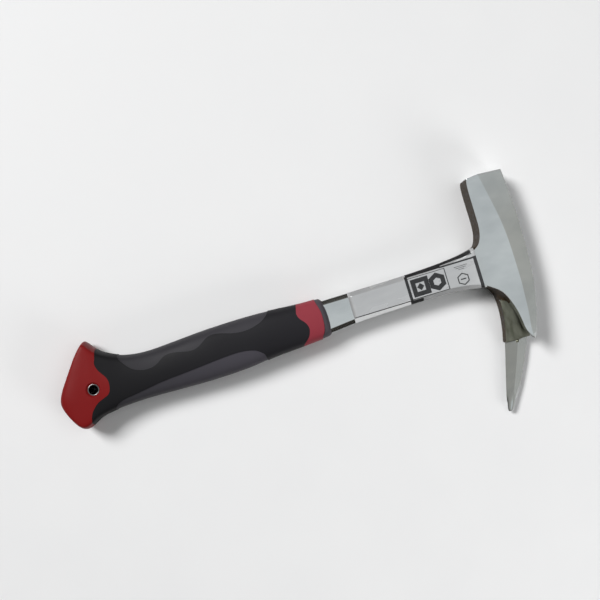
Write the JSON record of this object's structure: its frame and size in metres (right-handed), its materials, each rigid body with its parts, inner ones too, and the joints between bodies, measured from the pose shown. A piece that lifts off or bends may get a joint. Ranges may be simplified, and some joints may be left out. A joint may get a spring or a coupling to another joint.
{
  "type": "brick hammer",
  "caption": "All-steel hammer with a square striking face, a long tapered point with a short side claw, and a soft multi-colour grip with a lined hanging hole.",
  "frame": {"origin": "where the handle's centreline crosses the head's centreline, on the flat cheek that the hammer lies on", "axes": "+X from the handle towards the head's outer side, +Y up the head to the striking face, +Z through the head's thickness, away from the surface that it lies on"},
  "size_m": [0.3328, 0.1631, 0.025],
  "materials": {
    "steel": "polished forged steel, satin on the ground faces",
    "grip_grey": "fine-grained hard plastic",
    "inlay_grey": "fine-grained soft rubber",
    "grip_black": "fine-grained soft rubber",
    "grip_red": "fine-grained soft rubber",
    "cap_red": "satin moulded plastic",
    "tube_steel": "drawn steel tube",
    "label_film": "printed film"
  },
  "bodies": {
    "root": {"forging": "steel", "grip_core": "grip_grey", "back_inlay": "inlay_grey", "belly_inlay": "inlay_grey", "black_grip": "grip_black", "front_band": "grip_red", "butt_cap": "cap_red", "hang_tube": "tube_steel", "label": "label_film"}
  },
  "joints": []
}
